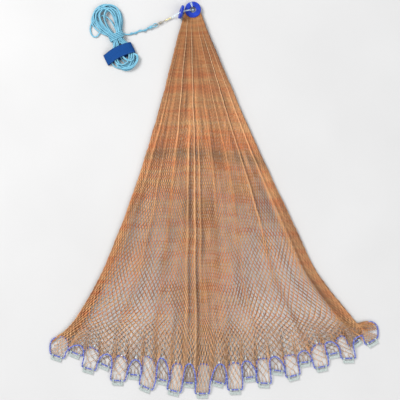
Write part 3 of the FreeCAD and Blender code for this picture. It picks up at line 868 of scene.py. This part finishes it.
strand_share = (np.arange(STRANDS) + 0.5) / STRANDS
middle_strand = STRANDS // 2
whole = (left_edge, right_edge)
for layer, line, level, throat_level, inset, seed in (
    ("upper", upper_line, upper_level, 0.0102, 0.004, 11),
    ("lower", lower_line, lower_level, 0.0072, 0.075, 12),
):
    place, radii = strand_paths(strand_share, line, level, throat_level, inset, inset, whole, seed)
    nodes = ["netting_" + layer, "netting_tongues_" + layer]
    shade = 0.5
    if layer == "upper":
        nodes.append("netting_collar")
        shade = 0.0
    for side, part in (("left", slice(0, middle_strand)), ("right", slice(middle_strand, STRANDS))):
        name = "net_%s_%s" % (layer, side)
        piece = netting_piece(name, place[part], radii[part], strand_share[part], shade, seed, nodes)

FOLD_STRANDS = 18
FOLD_LEVELS = (0.0045, 0.0085, 0.0125)
fold_share = (np.arange(FOLD_STRANDS) + 0.5) / FOLD_STRANDS
fold_ends = (0.006, reaches(lower_line)[-1] - 0.085)
for side, edges, (start, end), pleat_share in (
    ("left", (left_edge, left_fold), fold_ends, fold_share * 0.05),
    ("right", (right_fold, right_edge), fold_ends[::-1], 0.91 + fold_share * 0.08),
):
    stack = []
    for number, base in enumerate(FOLD_LEVELS):
        level = fold_level(base)
        stack.append(strand_paths(fold_share, lower_line, level, 0.0088, start, end, edges, 20 + number))
    piece = netting_piece(
        "net_fold_" + side,
        np.concatenate([place for place, radii in stack]),
        np.concatenate([radii for place, radii in stack]),
        np.tile(pleat_share, len(FOLD_LEVELS)),
        shade=0.05,
        seed=30,
        nodes=["netting_%s_fold" % side],
        shadow=0.45,
    )

# Hand line ------------

neck_way = heading_vector(NECK_HEADING)
neck_side = -side_vector(NECK_HEADING)
neck = np.array([*NECK, 0.0])
strap_way = heading_vector(STRAP_HEADING)
strap_side = side_vector(STRAP_HEADING)
strap_middle = np.array([*STRAP_CENTRE, 0.0])


def neck_wraps():
    """Turns round the hank's neck, coming in on its right side."""
    turns, steps, pitch, first = 3.6, 12, 0.0056, 0.014
    half_width, low, high = 0.0262, 0.0028, 0.0236
    points = []
    for step in range(int(turns * steps) + 1):
        angle = step * 2 * math.pi / steps
        height = (low + high) / 2 + (high - low) / 2 * math.sin(angle)
        beside = math.copysign(abs(math.cos(angle)) ** 0.6, math.cos(angle)) * half_width
        along = first - pitch * step / steps
        points.append(neck + neck_way * along + neck_side * beside + UP * height)
    return points


def lobe_points(start, end, heading, length, width, level, count):
    """One lobe of a turn: from start out to the lobe's tip and back to end, pinched at the neck."""
    way, side = heading_vector(heading), -side_vector(heading)
    turn = 1.0 if np.dot(side, start - end) > 0 else -1.0
    points = []
    for step in range(1, count + 1):
        angle = step * 2 * math.pi / (count + 1)
        out = (1 - math.cos(angle)) / 2
        base = start * (1 - step / (count + 1)) + end * step / (count + 1)
        bulge = math.sin(angle) * math.sin(angle / 2) ** 1.1 * 1.28
        place = base + way * length * out + side * turn * width * bulge
        place[2] = base[2] * (1 - out) + level * out
        points.append(place)
    return points


# Each turn of the hank: the upper lobe's lean, length and half width, then the lower lobe's.
HANK_TURNS = [
    (2, 0.128, 0.045, 2, 0.111, 0.038),
    (-9, 0.098, 0.020, 9, 0.088, 0.022),
    (8, 0.122, 0.036, -5, 0.102, 0.032),
    (-3, 0.110, 0.030, 14, 0.080, 0.017),
    (4, 0.124, 0.047, 5, 0.107, 0.043),
    (11, 0.093, 0.017, -2, 0.095, 0.027),
    (-8, 0.118, 0.038, 8, 0.104, 0.037),
    (-13, 0.104, 0.026, 16, 0.086, 0.019),
    (12, 0.117, 0.041, -9, 0.099, 0.039),
    (0, 0.126, 0.033, 3, 0.092, 0.030),
    (-5, 0.120, 0.043, 6, 0.108, 0.041),
    (6, 0.113, 0.030, -8, 0.088, 0.026),
    (-11, 0.112, 0.035, 11, 0.098, 0.033),
    (3, 0.106, 0.037, 0, 0.104, 0.029),
]
UPPER_LEAN, LOWER_LEAN = 117.0, -70.0
LEVELS = (0.0062, 0.0108, 0.0154, 0.0200)
# A slack loop that hangs out of the upper lobe of the last turn but one.
SLACK_LOOP = [
    (-0.4395, 0.638, 0.0045),
    (-0.4450, 0.610, 0.0036),
    (-0.4360, 0.588, 0.0030),
    (-0.4200, 0.585, 0.0030),
    (-0.4080, 0.604, 0.0050),
    (-0.3980, 0.622, 0.0110),
    (-0.3760, 0.612, 0.0150),
]


def hank_points():
    """The neck's wraps, then every turn of the hank, then the end that is tied to the strap."""
    points = neck_wraps()
    top = neck + neck_way * NECK_TOP
    bottom = neck - neck_way * NECK_BOTTOM
    for number, (lean, long_up, wide_up, tilt, long_down, wide_down) in enumerate(HANK_TURNS):
        storey, column = number % len(LEVELS), number // len(LEVELS)
        lane = neck_side * (0.0030 + 0.0052 * column)
        level = 0.0034 + 0.0042 * storey + 0.0006 * column
        lift = UP * LEVELS[storey]
        top_right, top_left = top + lane + lift, top - lane + lift
        bottom_right, bottom_left = bottom + lane + lift, bottom - lane + lift
        points += [bottom_right, top_right]
        points += lobe_points(top_right, top_left, UPPER_LEAN + lean, long_up, wide_up, level, 8)
        if number == len(HANK_TURNS) - 2:
            points[-3:] = SLACK_LOOP
        points += [top_left, bottom_left]
        points += lobe_points(bottom_left, bottom_right, LOWER_LEAN + tilt, long_down, wide_down, level, 7)
    end = strap_middle - strap_way * 0.034
    return points + [
        bottom + neck_side * 0.004 + UP * 0.013,
        neck - neck_way * 0.040 - neck_side * 0.012 + UP * 0.012,
        end + strap_way * 0.012 + UP * 0.010,
        end + UP * 0.0085,
    ]


def strap_outline():
    """The strap's closed centre line, seen from its edge: along the strap and up."""
    half = STRAP_HALF
    points = [
        (-half + 0.004, 0.0014),
        (-0.030, 0.0012),
        (0.0, 0.0012),
        (0.030, 0.0012),
        (half - 0.006, 0.0016),
        (half, 0.0060),
        (half - 0.001, 0.0135),
        (half - 0.010, 0.0195),
        (0.030, 0.0222),
        (0.012, 0.0232),
        (-0.008, 0.0226),
        (-0.026, 0.0190),
        (-0.042, 0.0122),
        (-half + 0.002, 0.0062),
        (-half - 0.0005, 0.0032),
    ]
    return points + points[:1]


def through_strap(path):
    """Keeps the hank's turns inside the webbing loop where they pass through it."""
    fade, reach = 0.016, 0.062
    first, last = -0.040, 0.047
    clear = ROPE / 2 + WEBBING + 0.0004
    lowest = 0.0012 + clear
    along, across = (path - strap_middle) @ strap_way, (path - strap_middle) @ strap_side
    near = 1 - smooth_step(np.abs(across), WEBBING_WIDTH / 2, WEBBING_WIDTH / 2 + fade)
    within = np.abs(along) < reach
    inside = np.clip(along, first, last)
    path = path + ((inside - along) * within * near)[:, None] * strap_way
    upper_run = np.array(sorted(strap_outline()[6:14]))
    ceiling = np.interp(inside, upper_run[:, 0], upper_run[:, 1]) - clear
    held = np.clip(path[:, 2], lowest, np.maximum(ceiling, lowest))
    path[:, 2] += (held - path[:, 2]) * near * within
    return path


hand_path = through_strap(line_points(HAND_LINE_ROUTE + hank_points(), 0.0016))
hand_rope = rope_material("hand_line_rope", (0.21, 0.57, 0.73), (0.03, 0.16, 0.26), (0.54, 0.80, 0.88))
hand_line = braided_piece("hand_line_rope", hand_path, ROPE, "hand_line", "hand_line_hank")


def along_swivel(distance, side=0.0, height=SWIVEL_HEIGHT):
    start = np.array([*LEADER_END, height])
    return start + heading_vector(SWIVEL_HEADING) * distance + side_vector(SWIVEL_HEADING) * side


EYE_CENTRE = 0.05686
KNOT_START, KNOT_END = 0.0745, 0.0895


def eye_loop():
    """The rope's eye through the swivel, whose two legs run into the knot."""
    points = []
    for step in range(13):
        angle = math.radians(-150 + step * 300 / 12)
        reach = EYE_CENTRE + 0.0068 - 0.0072 * math.cos(angle)
        points.append(along_swivel(reach, 0.0056 * math.sin(angle)))
    legs = [along_swivel(KNOT_START + 0.004, side) for side in (-0.0026, 0.0026)]
    return line_points([legs[0], *points, legs[1]], 0.0009)


def barrel_knot():
    """A little over three round turns over the rope and its tail."""
    turns, steps = 3.4, 40
    points = []
    for step in range(steps + 1):
        share = step / steps
        angle = share * turns * 2 * math.pi
        reach = KNOT_START + 0.0022 + (KNOT_END - KNOT_START - 0.0040) * share
        height = SWIVEL_HEIGHT + 0.0033 * math.sin(angle)
        points.append(along_swivel(reach, 0.0034 * math.cos(angle), height))
    return line_points(points, 0.0008)


def rope_tail():
    """The rope's spare end, laid round the hand line beyond the knot."""
    main = hand_path[:44]
    side, lift = carried_frames(main)
    angle = reaches(main) / 0.034 * 2 * math.pi + 0.4
    tail = main + 0.0040 * (side * np.cos(angle)[:, None] + lift * np.sin(angle)[:, None])
    tail[:, 2] = np.maximum(tail[:, 2], 0.0022)
    return tail


def end_knot():
    """An overhand knot where the rope's far end is tied to the strap."""
    steps = 36
    points = []
    for step in range(steps + 1):
        angle = step / steps * 2 * math.pi * 0.94
        ring = 0.0045 + 0.0018 * math.cos(3 * angle)
        side, lift = ring * math.cos(2 * angle), ring * math.sin(2 * angle) * 0.8
        run = 0.0026 * math.sin(3 * angle)
        points.append(hand_path[-1] + strap_way * run + strap_side * side + UP * lift)
    return line_points(points, 0.0009)


small_ropes = [
    braided_piece("hand_line_eye", eye_loop(), 0.0036, "hand_line_loop"),
    braided_piece("hand_line_barrel_knot", barrel_knot(), 0.0044, "hand_line_knot"),
    braided_piece("hand_line_tail", rope_tail(), 0.0038),
    braided_piece("hand_line_end_knot", end_knot(), 0.0042),
]

# Wrist strap ------------


def strap_outward(profile):
    """Unit vectors out of the strap's loop at each point of its closed profile."""
    along = np.roll(profile, -1, axis=0) - np.roll(profile, 1, axis=0)
    along /= np.linalg.norm(along, axis=1, keepdims=True)
    return np.stack([along[:, 2], np.zeros(len(along)), -along[:, 0]], axis=1)


def strap_bow(x, bow):
    """How far the strap's middle bows away from the hank's lower lobe."""
    return bow * (1 - (x / STRAP_HALF) ** 2) - STRAP_SHIFT


def on_strap(points):
    """Turns and moves points from the strap's own axes to where it lies."""
    x, y = points[..., 0:1], points[..., 1:2]
    return strap_middle + x * strap_way + y * strap_side + points[..., 2:3] * UP


def wrist_strap(profile):
    """Flat webbing sewn into a loop: ribbed in its length, with cords across and thin edges."""
    across = np.linspace(-1, 1, 31)
    outward = strap_outward(profile)
    ridge = np.cos(np.arange(len(profile)) * math.pi)
    cords = np.cos(across * math.pi * 14)[:, None]
    edge = np.clip((np.abs(across) - 0.90) / 0.1, 0, 1)[:, None] * np.ones(len(profile))
    thick = WEBBING / 2 + 0.00018 * ridge + 0.00010 * cords - 0.0007 * edge**2
    bow = STRAP_BOW * np.sin(np.clip((profile[:, 2] - 0.004) / 0.018, 0, 1) * math.pi / 2)
    y = across[:, None] * WEBBING_WIDTH / 2 + strap_bow(profile[:, 0], bow)
    skins = []
    for sign in (1, -1):
        x = profile[:, 0] + outward[:, 0] * thick * sign
        z = profile[:, 2] + outward[:, 2] * thick * sign
        skins.append(on_strap(np.stack([x, y, np.maximum(z, 0.0001)], axis=-1)))
    vertices, faces = two_skins(*skins)
    weave = 0.5 + 0.5 * ridge * cords
    painted = {"weave": np.tile(weave.ravel(), 2), "edge": np.tile(edge.ravel(), 2)}
    webbing = webbing_material()
    strap = mesh_piece("strap_webbing_loop", vertices, faces, "hand_line", webbing, painted)
    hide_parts("wrist_strap")
    return strap


def strap_stitching(profile):
    """Short raised stitches in a row along each edge of the strap's upper run."""
    thread = Material("strap_thread", 0.6)
    tone = thread.noise(800, 2, 0.5)
    thread.colour(thread.ramp(tone, (0.3, (0.01, 0.08, 0.30)), (0.7, (0.05, 0.22, 0.58))))
    outward = strap_outward(profile)
    lift = np.array([0.0011, 0.0016, 0.0011])
    stitches = []
    for row in (-0.0172, 0.0172):
        for start in range(0, len(profile) - 4, 4):
            if profile[start, 2] < 0.010:
                continue
            place = slice(start, start + 3)
            stitch = profile[place] + outward[place] * lift[:, None]
            stitch[:, 1] = row + strap_bow(profile[place, 0], STRAP_BOW)
            stitches.append(stitch)
    placed = on_strap(np.array(stitches))
    vertices, faces = tubes(placed, np.full(placed.shape[:2], 0.0004), 6)
    return mesh_piece("strap_stitches", vertices, faces, "hand_line", thread.data)


strap_profile = line_points([(x, 0.0, z) for x, z in strap_outline()], 0.0012)[:-1]
strap, stitches = wrist_strap(strap_profile), strap_stitching(strap_profile)

# Leader: two clear lines, a pressed sleeve, and the gather of the brail lines ------------

clear_line = clear_material()
leader_side = side_vector(SWIVEL_HEADING)
for number, sign in enumerate((-1, 1), start=1):
    shift = leader_side * sign * LEADER_SPACING / 2
    route = [tuple(p + shift) for p in np.array(LEADER_ROUTE)]
    path = line_points(route, 0.0012)
    vertices, faces = tubes(path[None], np.full((1, len(path)), LEADER_LINE / 2), 8)
    line = mesh_piece("leader_line_%d" % number, vertices, faces, "leader", clear_line)
    if number == 1:
        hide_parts("leader_lines")


def crimp_sleeve():
    """A double sleeve pressed in three places, open at both ends."""
    length, sides, rings, wall = 0.024, 28, 61, 0.0006
    reach = np.linspace(0, length, rings)[:, None]
    dents = sum(np.exp(-(((reach - at) / 0.0017) ** 2)) for at in (0.0055, 0.012, 0.0185))
    flare = np.exp(-reach / 0.0009) + np.exp(-(length - reach) / 0.0009)
    angles = np.arange(sides) * 2 * math.pi / sides
    wide = 0.0026 - 0.00005 * dents + 0.00010 * flare
    tall = 0.0021 - 0.00060 * dents + 0.00010 * flare
    waist = 1 - 0.10 * np.cos(angles * 2 + math.pi) ** 8
    run = along_swivel(0.0006) + reach[..., None] * heading_vector(SWIVEL_HEADING)
    skins = []
    for shrink in (0.0, wall):
        side = (wide - shrink) * np.cos(angles)
        lift = (tall - shrink) * np.sin(angles) * waist
        skins.append(run + side[..., None] * leader_side + lift[..., None] * UP)
    vertices, faces = two_skins(*skins)
    brass = metal_material("crimp_brass", (0.80, 0.72, 0.42), (0.42, 0.35, 0.16), 0.75)
    sleeve = mesh_piece("pressed_sleeve", vertices, faces, "leader", brass)
    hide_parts("crimp_sleeve")


crimp_sleeve()


def brail_bundle():
    """The brail lines' upper ends: in under the ring, up through its hole and over to the leader."""
    centre = np.array([*RING_CENTRE, 0.0])
    steps = np.linspace(0, 1, 64)
    paths = []
    for number in range(BRAIL_LINES):
        share = number / (BRAIL_LINES - 1) - 0.5
        start = np.array([-0.075 + share * 0.0256, 0.6283, 0.0039])
        around = heading_vector(math.degrees(2.4 * number))
        lane = np.array([share * 0.0175, 0.0, 0.0])
        points = [
            start,
            start + np.array([-share * 0.004, 0.010, -0.0022]),
            centre + lane + np.array([0, -0.032, 0.0010]),
            centre + lane + np.array([0, -0.014, 0.0009]),
            centre + around * 0.0060 + UP * 0.0012,
            centre + around * 0.0042 + UP * 0.0050,
            centre + around * 0.0030 + UP * 0.0090,
            centre + around * 0.0016 + np.array([-0.001, 0, 0.0112]),
        ]
        path = line_points(points, 0.0012)
        drawn = np.linspace(0, 1, len(path))
        paths.append(np.stack([np.interp(steps, drawn, path[:, axis]) for axis in range(3)], axis=1))
    vertices, faces = tubes(np.array(paths), np.full((BRAIL_LINES, len(steps)), BRAIL_LINE / 2), 6)
    bundle = mesh_piece("brail_bundle", vertices, faces, "net", clear_line)
    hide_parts("brail_gather")


brail_bundle()


def collar_binding():
    """Turns of twine that bind the gathered netting into the throat ring's groove."""
    angles = np.radians(np.linspace(176, 364, 95))
    paths = []
    for number in range(4):
        radius = RING_GROOVE + 0.0010 + 0.0005 * np.sin(angles * 23 + number)
        height = RING_MIDDLE - 0.0024 + 0.0016 * number + 0.0004 * np.sin(angles * 17 + 2 * number)
        x = RING_CENTRE[0] + radius * np.cos(angles)
        y = RING_CENTRE[1] + radius * np.sin(angles)
        paths.append(np.stack([x, y, height], axis=1))
    paths = np.array(paths)
    vertices, faces = tubes(paths, np.full(paths.shape[:2], 0.0008), 6)
    # Fixed values for the twine: half of its soil and painted shade, and a middling streak and pleat
    # light.
    tones = {"dye": 0.45, "hem": 0.0, "soil": 0.5, "streak_and_shade": 0.5, "ridge": 0.5}
    painted = {key: np.full(len(vertices), tone) for key, tone in tones.items()}
    mesh_piece("collar_binding", vertices, faces, "net", net_twine, painted)


collar_binding()


def hem_lashing():
    """Small hitches of pale thread that tie the netting's edge to the lead line."""
    thread = Material("hem_thread", 0.6, Sheen_Weight=0.2)
    tone = thread.noise(500, 3, 0.6)
    thread.colour(thread.ramp(tone, (0.3, (0.22, 0.26, 0.58)), (0.65, (0.60, 0.62, 0.82))))
    thread.bump(tone, 0.4, 0.0003)
    angles = np.linspace(0, 2 * math.pi * 1.9, 20)
    reach = 0.00285 + 0.0001 * np.sin(angles * 3)
    beside, above = (reach * np.cos(angles))[:, None], (reach * np.sin(angles))[:, None]
    for label, line in (("upper", upper_line), ("lower", lower_line)):
        side, lift = carried_frames(line)
        along = tangents(line)
        paths = []
        for number, place in enumerate(range(14, len(line) - 14, 11)):
            lean = 0.0012 * math.sin(number * 2.3) * np.cos(angles) + np.linspace(-0.0007, 0.0007, 20)
            ring = side[place] * beside + lift[place] * above
            paths.append(line[place] + ring + along[place] * lean[:, None])
        paths = np.array(paths)
        paths[..., 2] = np.maximum(paths[..., 2], 0.0006)
        vertices, faces = tubes(paths, np.full(paths.shape[:2], 0.0005), 4)
        mesh_piece("hem_hitches_" + label, vertices, faces, "net", thread.data)


hem_lashing()

# Camera, light and floor ------------


VIEW_CENTRE = (-0.049, 0.0)
VIEW_WIDTH = 1.44
LENS, SENSOR = 85, 36
# Name, place, size across in metres, and power in watts.
LAMPS = [
    ("key", (-3.0, 2.4, 3.8), 2.2, 265),
    ("fill", (3.2, -1.0, 4.0), 3.4, 80),
    ("low", (0.4, -3.8, 3.0), 2.8, 60),
]
SKY, SKY_STRENGTH = (0.93, 0.95, 1.0, 1), 0.58


def stage():
    """A pale floor, three soft lamps, a dim even sky, and a camera that looks straight down."""
    bpy.ops.mesh.primitive_plane_add(size=30, location=(0, 0, -0.0005))
    floor = bpy.context.object
    floor.name = "floor"
    made = Material("floor", 0.9)
    cloud = made.noise(3, 2, 0.5)
    made.colour(made.ramp(cloud, (0.3, (0.56, 0.555, 0.545)), (0.7, (0.585, 0.58, 0.57))))
    floor.data.materials.append(made.data)
    for name, place, size, power in LAMPS:
        data = bpy.data.lights.new(name, "AREA")
        data.size = size
        data.energy = power
        lamp = bpy.data.objects.new(name, data)
        lamp.location = place
        lamp.rotation_euler = (Vector((-0.05, 0, 0)) - Vector(place)).to_track_quat("-Z", "Y").to_euler()
        bpy.context.collection.objects.link(lamp)
    world = bpy.data.worlds.new("studio")
    world.use_nodes = True
    world.node_tree.nodes["Background"].inputs["Color"].default_value = SKY
    world.node_tree.nodes["Background"].inputs["Strength"].default_value = SKY_STRENGTH
    bpy.context.scene.world = world
    data = bpy.data.cameras.new("camera")
    data.lens = LENS
    data.sensor_width = SENSOR
    camera = bpy.data.objects.new("camera", data)
    camera.location = (*VIEW_CENTRE, VIEW_WIDTH * LENS / SENSOR)
    bpy.context.collection.objects.link(camera)
    bpy.context.scene.camera = camera
    bpy.context.scene.view_settings.view_transform = "Standard"


stage()

# Carried-over CAD parts ------------

finishes = {
    "ring_plastic": plastic_material(),
    "clear_line": clear_line,
    "sinker_iron": zinc_material(),
    "swivel_metal": metal_material("swivel_metal", (0.52, 0.47, 0.38), (0.20, 0.17, 0.13), 0.9),
}
slots = {row["node"]: row["material_slot"] for row in frame["record"]["subparts"]}
softened = {"sinker_iron": 0.0005, "swivel_metal": 0.0002}
for label, part in frame["nodes"].items():
    if slots[label] in finishes:
        part.data.materials.clear()
        part.data.materials.append(finishes[slots[label]])
    if slots[label] in softened:
        bevel = part.modifiers.new("soft_edges", "BEVEL")
        bevel.width = softened[slots[label]]
        bevel.segments = 2
        bevel.limit_method = "ANGLE"
        bevel.angle_limit = math.radians(40)
